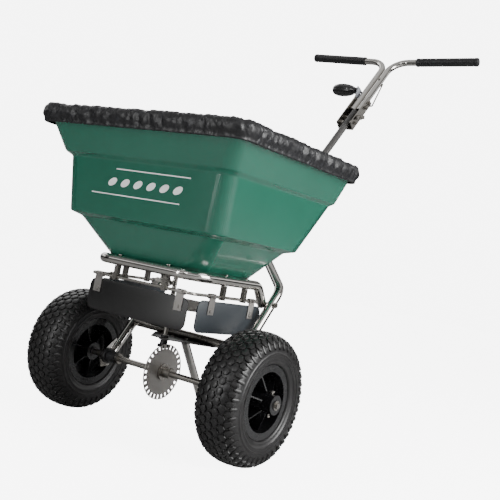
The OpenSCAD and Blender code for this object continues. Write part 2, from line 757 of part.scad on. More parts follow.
module rim(bore) {
    spun([
        [flange_r, -rim_half - 3], [flange_r + 2, -rim_half], [flange_r, -rim_half + 3],
        [bead_r, -rim_half + 3], [bead_r, -12], [bead_r - 8, -6], [bead_r - 8, 6], [bead_r, 12],
        [bead_r, rim_half - 3], [flange_r, rim_half - 3], [flange_r + 2, rim_half], [flange_r, rim_half + 3],
        [bead_r - rim_wall, rim_half + 3], [bead_r - rim_wall, 13],
        [bead_r - 8 - rim_wall, web_t / 2], [hub_r, web_t / 2], [hub_r, hub_out], [bore, hub_out],
        [bore, -hub_in], [hub_r, -hub_in], [hub_r, -web_t / 2], [bead_r - 8 - rim_wall, -web_t / 2],
        [bead_r - rim_wall, -13], [bead_r - rim_wall, -rim_half - 3]
    ]);
    // Ribs stand on edge between the hub and the barrel, on both faces of the web
    for (i = [0 : ribs - 1]) rotate([i * 360 / ribs + 15, 0, 0])
        multmatrix([[0, 1, 0, 0], [0, 0, 1, 0], [1, 0, 0, 0], [0, 0, 0, 1]])
        translate([0, 0, -rib_t / 2]) linear_extrude(rib_t)
        polygon([[hub_r - 2, -36], [hub_r - 2, 50], [bead_r - rim_wall + 1, 26], [bead_r - rim_wall + 1, 13],
                 [bead_r - 10, 5], [bead_r - 10, -5], [bead_r - rim_wall + 1, -13],
                 [bead_r - rim_wall + 1, -20]]);
}

module tyre()
    difference() {
        spun([
            for (a = [-90 : 10 : 90])
                [tyre_r - 34 + 34 * pow(abs(cos(a)), 0.75), (tyre_w / 2 - 2) * sign(a) * pow(abs(sin(a)), 0.8)],
            [bead_r + 20, tyre_w / 2 - 4], [bead_r + 16, rim_half + 4], [bead_r + 0.1, rim_half - 3.2],
            [bead_r + 0.1, rim_half - 12], [bead_r + 0.1, -rim_half + 12], [bead_r + 0.1, -rim_half + 3.2],
            [bead_r + 16, -rim_half - 4], [bead_r + 20, -tyre_w / 2 + 4]
        ]);
        spun([
            for (a = [-90 : 15 : 90])
                [tyre_r - 44 + 34 * pow(abs(cos(a)), 0.8), (tyre_w / 2 - 9) * sign(a) * pow(abs(sin(a)), 0.8)],
            [bead_r - 1, rim_half - 11], [bead_r - 1, -rim_half + 11]
        ]);
    }

// The inner tube fills the tyre, with its valve through the rim
tube_ring = (bead_r + tyre_r - 10) / 2;
module inner_tube() difference() {
    union() {
        rotate([0, 90, 0]) rotate_extrude($fn = 64) translate([tube_ring, 0]) circle(r = 28);
        translate([20, 0, bead_r - 16]) cylinder(r = 3.5, h = 37);
    }
    rotate([0, 90, 0]) rotate_extrude($fn = 64) translate([tube_ring, 0]) circle(r = 26);
    translate([20, 0, bead_r - 20]) cylinder(r = 1.5, h = 45);
}

module wheel_rim(bore)
    difference() {
        rim(bore);
        translate([20, 0, bead_r - 24]) cylinder(r = 4, h = 30);
    }

module at_drive_wheel() translate([wheel_x, 0, axle_z]) children();
module at_free_wheel() translate([-wheel_x, 0, axle_z]) mirror([1, 0, 0]) children();

module drive_rim() color("black") placed() difference() {
    at_drive_wheel() wheel_rim(axle_r + fit);
    translate([pin_x, 0, axle_z - hub_r - 5]) cylinder(r = 3.05, h = 2 * hub_r + 10);
}
module drive_tyre() color("black") placed() at_drive_wheel() tyre();
module drive_inner_tube() color("black") placed() at_drive_wheel() inner_tube();
module free_tyre() color("black") placed() at_free_wheel() tyre();
module free_inner_tube() color("black") placed() at_free_wheel() inner_tube();
module free_rim() color("black") placed() at_free_wheel() wheel_rim(axle_r + 5.05);

module free_wheel_bushes() color("ivory") placed() at_free_wheel()
    for (x = [-hub_in - 2, hub_out - 24])
        difference() {
            along_x(x, 0, 0, axle_r + 5, x < 0 ? 26 : 24);
            along_x(x - grow, 0, 0, axle_r + fit, 30);
        }

module drive_pin() color("silver") placed() {
    translate([pin_x, 0, axle_z - hub_r - 6]) cylinder(r = 3, h = 2 * hub_r + 10);
    translate([pin_x, 0, axle_z + hub_r + 4]) cylinder(r = 6, h = 4);
    translate([pin_x, 0, axle_z - hub_r - 8]) cylinder(r = 5, h = 4, $fn = 6);
}

// ---- Spinner ----

module at_shaft(z) translate([shaft_x, 0, z]) children();

module spinner_shaft() color("silver") placed()
    at_shaft(shaft_bottom) cylinder(r = shaft_r, h = shaft_top - shaft_bottom);

module spinner_pinion() color("dimgray") placed() at_shaft(pinion_z) difference() {
    union() {
        translate([0, 0, -pinion_t / 2 - grow])
            cylinder(r = tooth_root, h = pinion_hub_top - pinion_z + pinion_t / 2 + grow);
        for (i = [0 : pinion_teeth - 1]) rotate([0, 0, i * 360 / pinion_teeth])
            translate([0, 0, -pinion_t / 2]) linear_extrude(pinion_t)
                polygon([[tooth_root - 2, -2.8], [tooth_tip - 2.5, -2.2], [tooth_tip, -1],
                         [tooth_tip, 1], [tooth_tip - 2.5, 2.2], [tooth_root - 2, 2.8]]);
    }
    translate([0, 0, -20]) cylinder(r = shaft_r + fit, h = 60);
}

vanes = 4;
module spinner_disc() color("silver") placed() at_shaft(spinner_z) difference() {
    union() {
        cylinder(r = spinner_r, h = 3, $fn = 96);
        translate([0, 0, -14]) cylinder(r = shaft_r + 7, h = 20);
        for (i = [0 : vanes - 1]) rotate([0, 0, i * 360 / vanes + 20])
            translate([30, 6, 1]) cube([spinner_r - 34, 2.5, vane_h]);
    }
    translate([0, 0, -20]) cylinder(r = shaft_r + fit, h = 60);
}

module agitator() color("silver") placed() at_shaft(agitator_z) difference() {
    union() {
        cylinder(r = shaft_r + 5, h = 14);
        along_x(-40, 0, 7, 3, 80);
        translate([36, 0, 7]) cylinder(r = 3, h = 22);
        translate([-36, 0, 7]) cylinder(r = 3, h = 14);
    }
    translate([0, 0, -grow]) cylinder(r = shaft_r + fit, h = 40);
}

// ---- Shutter and control rod ----

// The rod runs parallel to the column, from the lever's crank to the shutter's tongue
rod_top = column_foot + (crank_pin.x * [0, sin(column_angle), -cos(column_angle)])
    + crank_pin.y * [0, cos(column_angle), sin(column_angle)];
rod_foot_z = shutter_z + 9;
rod_foot = [0, rod_top.y - (rod_top.z - rod_foot_z) / tan(column_angle), rod_foot_z];
tongue_x = lever_x;
tongue_w = 18;
tongue_end = rod_foot.y + 8;
plate_front = -82;
plate_len = 150;
module shutter_plate() color("gainsboro") placed() difference() {
    union() {
        translate([-guide_x, plate_front, shutter_z]) cube([2 * guide_x, plate_len, shutter_t]);
        translate([tongue_x - tongue_w / 2, plate_front + plate_len - 5, shutter_z])
            cube([tongue_w, tongue_end - plate_front - plate_len + 5, shutter_t]);
        for (s = [-1, 1])
            translate([tongue_x + s * 6 - 1.5, tongue_end - 18, shutter_z])
                cube([3, 18, 14]);
    }
    // Windows that line up with the outlets when the plate is pushed forward
    translate([0, shutter_stroke, 0]) outlet_holes(outlet_d / 2, shutter_z - grow, shutter_t + 2 * grow);
    // Slot that clears the spinner shaft's bush over the whole stroke
    translate([shaft_x - bush_r - 5, -bush_r - 5, shutter_z - grow])
        cube([2 * bush_r + 10, shutter_stroke + 2 * bush_r + 10, shutter_t + 2 * grow]);
    along_x(tongue_x - 20, rod_foot.y, rod_foot.z, 3.05, 40);
}

module control_rod() color("silver") placed() {
    bar([lever_x, rod_foot.y, rod_foot.z], [lever_x, rod_top.y, rod_top.z]
        - 9 * [0, cos(column_angle), sin(column_angle)], rod_wire / 2);
    // Eye at the top, loose on the crank's pin, and a cross pin at the foot
    difference() {
        along_x(lever_x - 2.5, rod_top.y, rod_top.z, 10, 5);
        along_x(lever_x - 4, rod_top.y, rod_top.z, 6.4, 8);
    }
    along_x(lever_x - tongue_w / 2, rod_foot.y, rod_foot.z, 3, tongue_w);
}

// ---- Lever ----

// Turns an outline of (Y', s) into a plate across X, from x upwards
module side_plate(x, thick)
    multmatrix([[0, 0, 1, x], [1, 0, 0, 0], [0, 1, 0, 0], [0, 0, 0, 1]]) linear_extrude(thick) children();

lever_plate_x = scale_x - lever_t - 0.5;
module lever_arm(a, b, r) {
    v = b - a;
    translate(a) rotate(atan2(v.y, v.x)) translate([0, -r]) square([norm(v), 2 * r]);
    translate(b) circle(r = r);
}
module rate_lever() color("silver") placed() on_column() {
    side_plate(lever_plate_x, lever_t) difference() {
        union() {
            translate(lever_pivot) circle(r = 10);
            lever_arm(lever_pivot, knob_at, 8);
            lever_arm(lever_pivot, crank_pin, 7);
        }
        translate(lever_pivot) circle(r = 4 + fit);
        translate(knob_at) circle(r = 4 + fit);
    }
    along_x(lever_plate_x - 7, crank_pin.x, crank_pin.y, 3, 8);
}
// Shouldered pin, riveted into the bracket's cheek, that the lever turns on
module lever_pivot_pin() color("silver") placed() on_column() {
    along_x(lever_plate_x - 0.5, lever_pivot.x, lever_pivot.y, 4, -bracket_x - lever_plate_x + 0.5);
    along_x(lever_plate_x - 4.5, lever_pivot.x, lever_pivot.y, 8, 4.2);
}
module lever_knob() color("black") placed() on_column() {
    // Stud in the lever, and the long knob outside
    along_x(lever_plate_x - 12, knob_at.x, knob_at.y, 4, 12 + lever_t - 0.1);
    translate([lever_plate_x - 8 - knob_len, knob_at.x, knob_at.y]) rotate([0, 90, 0])
        rotate_extrude() polygon([[0, 0], [8, 0], [14, 4], [knob_r, knob_len * 0.34], [knob_r, knob_len * 0.6],
                                  [11, knob_len - 6], [9, knob_len], [0, knob_len]]);
}

// Thumb nut that slides in the scale's slot and stops the lever
stop_at = lever_pivot + slot_arc_r * [cos(stop_angle), sin(stop_angle)];
module rate_stop() color("dimgray") placed() on_column() {
    along_x(scale_x - 3.3, stop_at.x, stop_at.y, 2.5, 9.3);
    along_x(scale_x + scale_t + 0.3, stop_at.x, stop_at.y, 6, 2.9);
    along_x(scale_x - 3.5, stop_at.x, stop_at.y, 4.5, 3.2);
}

// ---- Flaps ----

// Eight-sided plate that hangs below the rod: half length, in a plane along X
module flap_plate(half, top_cut)
    translate([0, flap_t / 2, 0]) rotate([90, 0, 0]) linear_extrude(flap_t)
    polygon([
        [-half + top_cut, -flap_drop], [half - top_cut, -flap_drop], [half, -flap_drop - 18],
        [half, -flap_drop - 42], [half - 10, -flap_drop - 62], [half - 32, -flap_drop - flap_h],
        [-half + 32, -flap_drop - flap_h], [-half + 10, -flap_drop - 62],
        [-half, -flap_drop - 42], [-half, -flap_drop - 18]
    ]);

// Strap with an eye round the rod; it lies on the outer face of the flap
module strap(x)
    difference() {
        union() {
            translate([x - strap_w / 2, 0, 0]) rotate([0, 90, 0]) cylinder(r = rod_r + strap_t, h = strap_w);
            translate([x - strap_w / 2, -flap_t / 2 - strap_t - 0.05, -flap_drop - 34])
                cube([strap_w, strap_t, flap_drop + 34]);
            // Rivet and its washer behind the flap
            translate([x, -flap_t / 2 - strap_t - 1.5, -flap_drop - 24]) rotate([-90, 0, 0])
                cylinder(r = 2.5, h = flap_t + strap_t + 4);
            translate([x, -flap_t / 2 - strap_t - 2, -flap_drop - 24]) rotate([-90, 0, 0])
                cylinder(r = 5, h = 2);
            // Wing screw that pinches the eye
            translate([x, -rod_r - strap_t - 5, 1]) rotate([-90, 0, 0]) cylinder(r = 3, h = 6);
            translate([x - 8, -rod_r - strap_t - 7, -1]) cube([16, 3, 5]);
        }
        translate([x - strap_w, 0, 0]) rotate([0, 90, 0]) cylinder(r = rod_r + fit, h = 2 * strap_w);
    }
module holed_flap(half, top_cut, places) difference() {
    flap_plate(half, top_cut);
    for (x = places)
        translate([x, -flap_t, -flap_drop - 24]) rotate([-90, 0, 0]) cylinder(r = 2.6, h = 2 * flap_t);
}

front_straps = [-134, 134];
side_straps = [-86, 86];
module at_front_rod() translate([0, -flap_front, rod_z]) children();
module at_right_rod() translate([flap_rod_x, side_flap_y, rod_z]) rotate([0, 0, 90]) children();
module at_left_rod() translate([-flap_rod_x, side_flap_y, rod_z]) rotate([0, 0, -90]) children();

module front_flap() color([0.08, 0.08, 0.09]) placed()
    at_front_rod() holed_flap(flap_half_front, 14, front_straps);
module right_flap() color([0.2, 0.22, 0.24]) placed()
    at_right_rod() holed_flap(flap_half_side, 26, side_straps);
module left_flap() color([0.2, 0.22, 0.24]) placed()
    at_left_rod() holed_flap(flap_half_side, 26, side_straps);
module front_flap_straps() color("silver") placed() at_front_rod() for (x = front_straps) strap(x);
module right_flap_straps() color("silver") placed() at_right_rod() for (x = side_straps) strap(x);
module left_flap_straps() color("silver") placed() at_left_rod() for (x = side_straps) strap(x);

// ---- Cover ----

module cover_outline(z, extra, h) {
    corner = hopper_corner + 2 + extra;
    translate([0, 0, z]) linear_extrude(h)
        hull() for (sx = [-1, 1])
            for (y = [-front_of(rim_z) - 2 - extra + corner, tier_top[2] + 2 + extra - corner])
                translate([sx * (rim_x + 2 + extra - corner), y]) circle(r = corner, $fn = 40);
}

module hopper_cover() color([0.1, 0.1, 0.11]) placed() difference() {
    cover_outline(rim_z - cover_skirt, cover_t, cover_skirt + cover_t + gap);
    cover_outline(rim_z - cover_skirt - grow, 0, cover_skirt + grow + gap);
}

side_tube_left();
side_tube_right();
cross_tube();
support_hoop();
frame_bolts();
column_socket();
handle_column();
bearing_plate();
lower_shaft_bush();
upper_shaft_bush();
stand_leg();
stand_foot();
axle_bearing_left();
axle_bearing_right();
hopper();
hopper_base();
shutter_guides();
handlebar_left();
handlebar_right();
grip_left();
grip_right();
handle_bracket();
handle_bolts();
handle_wing_bolt();
handle_stay();
rate_scale();
flap_rod();
rod_hangers();
hanger_bolts();
drive_axle();
axle_collars();
crown_gear();
gear_hub();
gear_clamp_bolt();
drive_rim();
drive_tyre();
drive_inner_tube();
drive_pin();
axle_end_bolts();
free_rim();
free_tyre();
free_inner_tube();
free_wheel_bushes();
spinner_shaft();
spinner_pinion();
spinner_disc();
agitator();
shutter_plate();
control_rod();
rate_lever();
lever_pivot_pin();
lever_knob();
rate_stop();
front_flap();
front_flap_straps();
right_flap();
right_flap_straps();
left_flap();
left_flap_straps();
hopper_cover();
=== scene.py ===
import math

import bpy
from mathutils import Matrix, Vector, noise


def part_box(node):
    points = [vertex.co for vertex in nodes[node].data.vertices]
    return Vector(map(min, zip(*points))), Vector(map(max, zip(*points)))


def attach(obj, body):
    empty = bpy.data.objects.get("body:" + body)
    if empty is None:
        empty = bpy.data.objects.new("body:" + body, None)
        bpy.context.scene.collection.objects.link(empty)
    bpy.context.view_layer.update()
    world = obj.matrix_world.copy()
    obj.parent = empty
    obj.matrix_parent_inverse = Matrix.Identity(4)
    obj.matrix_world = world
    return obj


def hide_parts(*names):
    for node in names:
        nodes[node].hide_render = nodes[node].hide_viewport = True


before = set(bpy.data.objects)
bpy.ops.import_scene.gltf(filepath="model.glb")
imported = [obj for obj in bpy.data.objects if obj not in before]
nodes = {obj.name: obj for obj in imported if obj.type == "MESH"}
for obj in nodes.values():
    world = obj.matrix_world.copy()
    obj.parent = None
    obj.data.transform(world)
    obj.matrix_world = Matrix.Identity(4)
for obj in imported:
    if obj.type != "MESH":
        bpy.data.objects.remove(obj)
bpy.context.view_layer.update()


# Bright steel: the hoop, side tubes and handlebars are stainless tube polished to a mirror,
# with faint wipe marks. The class holds one finish while its nodes are joined up, and Level
# lets the sums on a surface be written plainly.
class Level:
    def __init__(self, finish, socket):
        self.finish, self.socket = finish, socket

    def sum(self, operation, other):
        return self.finish.node("ShaderNodeMath", {"operation": operation}, {0: self, 1: other})

    def __add__(self, other):
        return self.sum("ADD", other)

    def __mul__(self, other):
        return self.sum("MULTIPLY", other)

    __radd__ = __add__
    __rmul__ = __mul__


class Finish:
    def __init__(self, name, colour, metallic=0.0, roughness=0.5, coat=0.0):
        self.material = bpy.data.materials.new(name)
        self.material.use_nodes = True
        self.tree = self.material.node_tree
        self.shader = self.tree.nodes["Principled BSDF"]
        self.colour, self.roughness = (*colour, 1.0), roughness
        self.shader.inputs["Base Color"].default_value = self.colour
        self.shader.inputs["Metallic"].default_value = metallic
        self.shader.inputs["Roughness"].default_value = roughness
        self.shader.inputs["Coat Weight"].default_value = coat
        self.shader.inputs["Coat Roughness"].default_value = 0.08
        self.place = self.node("ShaderNodeTexCoord", output="Object")

    def node(self, kind, settings=None, values=None, output=0):
        made = self.tree.nodes.new(kind)
        for name, value in (settings or {}).items():
            setattr(made, name, value)
        for key, value in (values or {}).items():
            self.join(made.inputs[key], value)
        return Level(self, made.outputs[output])

    def join(self, socket, value):
        if isinstance(value, Level):
            self.tree.links.new(value.socket, socket)
        else:
            socket.default_value = value

    def cloud(self, scale, detail=3.0, stretch=(1, 1, 1)):
        at = self.node("ShaderNodeMapping", None, {"Vector": self.place, "Scale": stretch})
        return self.node("ShaderNodeTexNoise", None,
                         {"Vector": at, "Scale": scale, "Detail": detail})

    def blend(self, amount, first, second):
        colour_out = 2
        return self.node("ShaderNodeMix", {"data_type": "RGBA"},
                         {0: amount, 6: first, 7: second}, colour_out)

    def surface(self, colour=None, roughness=None, height=None, depth=0.0002, strength=0.4):
        if colour is not None:
            self.join(self.shader.inputs["Base Color"], colour)
        if roughness is not None:
            self.join(self.shader.inputs["Roughness"], roughness)
        if height is not None:
            bump = self.node("ShaderNodeBump", None,
                             {"Height": height, "Distance": depth, "Strength": strength})
            self.join(self.shader.inputs["Normal"], bump)
        return self.material


def steel(name, colour, roughness, spread, brush, depth):
    metal = Finish(name, colour, metallic=1.0, roughness=roughness)
    wipes = metal.cloud(9.0, 4.0)
    darker = tuple(0.72 * c for c in colour) + (1,)
    return metal.surface(metal.blend(wipes, darker, metal.colour), roughness + spread * wipes,
                         metal.cloud(240.0, 2.0, brush), depth)


mirror_steel = steel("mirror_steel", (0.62, 0.60, 0.57), 0.04, 0.12, (1, 1, 1), 0.00005)
satin_steel = steel("satin_steel", (0.42, 0.40, 0.37), 0.16, 0.22, (1, 6, 6), 0.0002)
plate_steel = steel("plate_steel", (0.46, 0.44, 0.42), 0.26, 0.25, (1, 1, 1), 0.0002)


def dress(names, material):
    for name in names.split():
        nodes[name].data.materials.clear()
        nodes[name].data.materials.append(material)


dress("side_tube_left side_tube_right support_hoop handlebar_left handlebar_right column_socket "
      "stand_leg hopper_base", mirror_steel)
dress("cross_tube drive_axle flap_rod control_rod handle_stay spinner_shaft axle_collars gear_hub "
      "rod_hangers handle_bracket frame_bolts handle_bolts handle_wing_bolt hanger_bolts "
      "gear_clamp_bolt axle_end_bolts drive_pin lever_pivot_pin", satin_steel)
dress("crown_gear spinner_disc agitator shutter_plate shutter_guides rate_lever front_flap_straps "
      "right_flap_straps left_flap_straps", plate_steel)


# Painted and moulded parts kept as they are: the dark powder-coated column and bearing plate,
# the grey scale, and the small black nylon bearings, bushes and thumb nut.
def moulded(name, colour, roughness, grain=420.0, depth=0.00015, coat=0.0):
    plastic = Finish(name, colour, roughness=roughness, coat=coat)
    patches = plastic.cloud(14.0, 4.0)
    paler = tuple(min(1.0, 1.4 * c + 0.002) for c in colour) + (1,)
    return plastic.surface(plastic.blend(patches, plastic.colour, paler),
                           roughness - 0.06 + 0.12 * patches, plastic.cloud(grain, 2.0), depth)


dress("handle_column bearing_plate", moulded("powder_coat", (0.05, 0.048, 0.046), 0.36))
dress("rate_scale", moulded("scale_grey", (0.22, 0.23, 0.25), 0.38))
black_nylon = moulded("black_nylon", (0.012, 0.012, 0.013), 0.4)
dress("stand_foot axle_bearing_left axle_bearing_right lower_shaft_bush upper_shaft_bush "
      "rate_stop spinner_pinion free_wheel_bushes", black_nylon)


# Hopper: one rotomoulded shell in three tiers, each drawn in a little from the one above, with
# large round corners. It is made as a ring that is extruded down the tiers and given a wall.
HOPPER_Y = -0.345
HOPPER_TIERS = [
    # half width, front, back, height, corner radius
    (0.318, 0.276, 0.284, 0.784, 0.036),
    (0.275, 0.231, 0.280, 0.682, 0.036),
    (0.264, 0.214, 0.270, 0.673, 0.036),
    (0.248, 0.200, 0.172, 0.534, 0.036),
    (0.226, 0.178, 0.150, 0.525, 0.036),
    (0.142, 0.128, 0.128, 0.428, 0.062),
]


def clear():
    bpy.ops.object.select_all(action="DESELECT")


def pick(piece, edges=None, faces=None):
    """Selects the edges or faces of a piece, in edit mode, that a test on their middle passes."""
    bpy.ops.mesh.select_all(action="DESELECT")
    bpy.ops.object.mode_set(mode="OBJECT")
    at = [v.co for v in piece.data.vertices]
    if edges:
        for edge in piece.data.edges:
            edge.select = edges(at[edge.vertices[0]], at[edge.vertices[1]])
    if faces:
        for face in piece.data.polygons:
            face.select = faces(face)
    bpy.ops.object.mode_set(mode="EDIT")


def start(name):
    """Names the primitive just added and opens it for editing with all of it selected."""
    piece = bpy.context.active_object
    piece.name = piece.data.name = name
    bpy.ops.object.mode_set(mode="EDIT")
    bpy.ops.mesh.select_all(action="SELECT")
    return piece


def settle(piece, material, angle=35):
    """Closes editing, puts the place into the mesh and smooths it."""
    if bpy.context.mode != "OBJECT":
        bpy.ops.object.mode_set(mode="OBJECT")
    clear()
    piece.select_set(True)
    bpy.context.view_layer.objects.active = piece
    bpy.ops.object.transform_apply(location=True, rotation=True, scale=True)
    bpy.ops.object.shade_smooth_by_angle(angle=math.radians(angle))
    piece.data.materials.clear()
    piece.data.materials.append(material)
    return piece


def finish_with(piece, kind, **settings):
    """Adds a modifier with its settings and applies it."""
    if bpy.context.mode != "OBJECT":
        bpy.ops.object.mode_set(mode="OBJECT")
    clear()
    piece.select_set(True)
    bpy.context.view_layer.objects.active = piece
    modifier = piece.modifiers.new(kind.lower(), kind)
    for name, value in settings.items():
        setattr(modifier, name, value)
    bpy.ops.object.modifier_apply(modifier=modifier.name)


def round_corner(at, tier, shrunk):
    """Moves a point of a shrunk corner arc to the same angle on the tier's own corner arc."""
    half, front, back, _, radius = tier
    middle, reach = HOPPER_Y + (back - front) / 2, (front + back) / 2
    across, along = abs(at.x), abs(at.y - middle)
    turn = math.atan2((along - reach) / shrunk.y + 1, (across - half) / shrunk.x + 1)
    at.x = math.copysign(half - radius + radius * math.cos(turn), at.x)
    at.y = middle + math.copysign(reach - radius + radius * math.sin(turn), at.y - middle)


clear()
half, front, back, top, rim_corner = HOPPER_TIERS[0]
bpy.ops.mesh.primitive_plane_add(size=1, location=(0, 0, 0))
hopper = start("hopper_shell")
bpy.ops.transform.resize(value=(2 * half, front + back, 1))
bpy.ops.transform.translate(value=(0, HOPPER_Y + (back - front) / 2, top))
bpy.ops.mesh.bevel(offset=rim_corner, segments=12, affect="VERTICES")
bpy.ops.mesh.delete(type="ONLY_FACE")
bpy.ops.mesh.select_all(action="SELECT")
for above, below in zip(HOPPER_TIERS, HOPPER_TIERS[1:]):
    middle = HOPPER_Y + (above[2] - above[1]) / 2
    shift = (below[2] - below[1] - above[2] + above[1]) / 2
    bpy.ops.mesh.extrude_region_move(
        TRANSFORM_OT_translate={"value": (0, shift, below[3] - above[3])})
    bpy.ops.transform.resize(
        value=(below[0] / above[0], (below[1] + below[2]) / (above[1] + above[2]), 1),
        center_override=(0, middle + shift, below[3]))
bpy.ops.object.mode_set(mode="OBJECT")
for tier in HOPPER_TIERS[1:]:
    shrunk = rim_corner * Vector((tier[0] / half, (tier[1] + tier[2]) / (front + back)))
    for vertex in hopper.data.vertices:
        if abs(vertex.co.z - tier[3]) < 1e-5:
            round_corner(vertex.co, tier, shrunk)
bpy.ops.object.mode_set(mode="EDIT")
bpy.ops.mesh.edge_face_add()
pick(hopper, edges=lambda a, b: abs(a.z - b.z) < 1e-5 and 0.42 < a.z < 0.78
     and len([t for t in HOPPER_TIERS if abs(t[3] - a.z) < 1e-4]) > 0)
bpy.ops.mesh.bevel(offset=0.0035, segments=3, affect="EDGES")
bpy.ops.mesh.select_all(action="SELECT")
bpy.ops.mesh.normals_make_consistent(inside=False)
finish_with(hopper, "SOLIDIFY", thickness=0.004, offset=-1)

# The outlets and the hole for the shaft are drilled through its floor
SHAFT_X = -0.00614
OUTLETS = [(SHAFT_X + 0.062 * math.cos(math.radians(a)), 0.062 * math.sin(math.radians(a)), 0.017)
           for a in (-128, -90, -52)] + [(SHAFT_X, 0, 0.016)]
for x, y, radius in OUTLETS:
    clear()
    bpy.ops.mesh.primitive_cylinder_add(vertices=32, radius=radius, depth=0.03,
                                        location=(x, HOPPER_Y + y, 0.43))
    drill = bpy.context.active_object
    finish_with(hopper, "BOOLEAN", operation="DIFFERENCE", object=drill, solver="EXACT")
    bpy.data.objects.remove(drill)

poly = Finish("green_poly", (0.012, 0.108, 0.069), roughness=0.24, coat=0.5)
haze = poly.cloud(4.0, 3.0)
peel = poly.cloud(60.0, 2.0)
hopper_green = poly.surface(poly.blend(haze, (0.010, 0.096, 0.060, 1), (0.014, 0.124, 0.080, 1)),
                            0.20 + 0.10 * haze, peel, 0.0003, 0.15)
settle(hopper, hopper_green, 40)
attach(hopper, "frame")
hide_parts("hopper")


# Label: a thin white transfer on the front of the middle tier, two slanted rules with a plain
# row of seed shapes between them.
def front_at(z):
    upper, lower = HOPPER_TIERS[2], HOPPER_TIERS[3]
    return HOPPER_Y - lower[1] - (upper[1] - lower[1]) * (z - lower[3]) / (upper[3] - lower[3])


# The front of the middle tier leans back by this much
lean = math.atan2(HOPPER_TIERS[2][1] - HOPPER_TIERS[3][1], HOPPER_TIERS[2][3] - HOPPER_TIERS[3][3])
white_ink = moulded("white_ink", (0.78, 0.79, 0.78), 0.35)
LABEL_MARKS = [
    # middle x, height, half length, half thickness, sides
    (0.034, 0.652, 0.118, 0.0014, 4),
    (-0.016, 0.5885, 0.143, 0.0014, 4),
] + [(-0.092 + 0.042 * i, 0.6195, 0.0155, 0.0085, 16) for i in range(6)]
for number, (x, z, length, thick, sides) in enumerate(LABEL_MARKS):
    clear()
    if sides == 4:
        bpy.ops.mesh.primitive_plane_add(size=2)
    else:
        bpy.ops.mesh.primitive_circle_add(vertices=sides, radius=1, fill_type="NGON")
    mark = start(f"label_mark_{number}")
    bpy.ops.transform.resize(value=(length, thick, 1))
    bpy.ops.mesh.extrude_region_move(TRANSFORM_OT_translate={"value": (0, 0, 0.0004)})
    bpy.ops.mesh.select_all(action="SELECT")
    bpy.ops.mesh.normals_make_consistent(inside=False)
    bpy.ops.object.mode_set(mode="OBJECT")
    mark.matrix_world = (Matrix.Translation((x, front_at(z) - 0.0003, z))
                         @ Matrix.Rotation(math.pi / 2 + lean, 4, "X")
                         @ Matrix.Rotation(0.0 if sides == 4 else 0.5, 4, "Z"))
    settle(mark, white_ink)
    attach(mark, "frame")


# Rain cover: a sheet of thin coated nylon with an elastic cord in its hem. It is laid over the
# rim, and the elastic gathers the spare cloth of the edge into folds all round.
COVER_HALF, COVER_FRONT, COVER_BACK = 0.3235, 0.2815, 0.2895
COVER_CORNER = 0.042
COVER_MIDDLE = (COVER_BACK - COVER_FRONT) / 2
COVER_STEPS = 520
# Rings drawn in further than this lie on the flat of the cover, and the rest hang on the rim
FLAT_FROM = 0.02


def rim_point(t):
    """A point and its outward direction, a share t of the way round the rim."""
    wide = 2 * (COVER_HALF - COVER_CORNER)
    long = COVER_FRONT + COVER_BACK - 2 * COVER_CORNER
    arc = math.pi / 2 * COVER_CORNER
    runs = [("side", wide), ("arc", arc), ("side", long), ("arc", arc)] * 2
    at = t * sum(length for _, length in runs)
    point = Vector((-wide / 2, -COVER_FRONT, 0))
    turn = 0.0
    for kind, length in runs:
        along = Vector((math.cos(turn), math.sin(turn), 0))
        out = Vector((math.sin(turn), -math.cos(turn), 0))
        gone = min(at, length)
        if kind == "side":
            point = point + along * gone
        else:
            centre = point - out * COVER_CORNER
            turn += gone / COVER_CORNER
            out = Vector((math.sin(turn), -math.cos(turn), 0))
            point = centre + out * COVER_CORNER
        at -= length
        if at <= 0:
            break
    return point, out


def fold(t, z, scale, seed):
    """Creased noise round the rim, from 0 in a valley to 1 on a ridge."""
    angle = 2 * math.pi * t
    at = Vector((math.cos(angle) * scale, math.sin(angle) * scale, z + seed))
    return 1 - abs(noise.noise(at)) * 2.2


RINGS = [
    # drawn in, height, depth of folds outwards, depth of folds upwards
    (0.275, 0.780, 0.0, 0.0008), (0.24, 0.780, 0.0, 0.001), (0.20, 0.7802, 0.0, 0.001),
    (0.16, 0.7806, 0.0, 0.0012), (0.12, 0.7815, 0.0, 0.0014), (0.09, 0.7828, 0.0, 0.0016),
    (0.065, 0.7845, 0.0, 0.002), (0.045, 0.7862, 0.0, 0.0028), (0.030, 0.788, 0.0005, 0.0038),
    (0.019, 0.7893, 0.001, 0.0044), (0.011, 0.7897, 0.002, 0.0046),
    (0.005, 0.7887, 0.003, 0.004), (0.001, 0.7858, 0.0042, 0.003),
    (-0.002, 0.7815, 0.0052, 0.002), (-0.003, 0.7765, 0.006, 0.001),
    (-0.003, 0.7715, 0.0064, 0.0008),
    (-0.003, 0.7665, 0.0064, 0.0), (-0.002, 0.7615, 0.006, 0.0),
    (0.001, 0.7570, 0.0054, 0.0), (0.003, 0.7530, 0.0046, 0.0), (0.0035, 0.7495, 0.0036, 0.0),
    (0.003, 0.7470, 0.0030, 0.0), (0.0035, 0.7445, 0.0030, 0.0), (0.006, 0.7435, 0.001, 0.0),
]
verts, quads = [], []
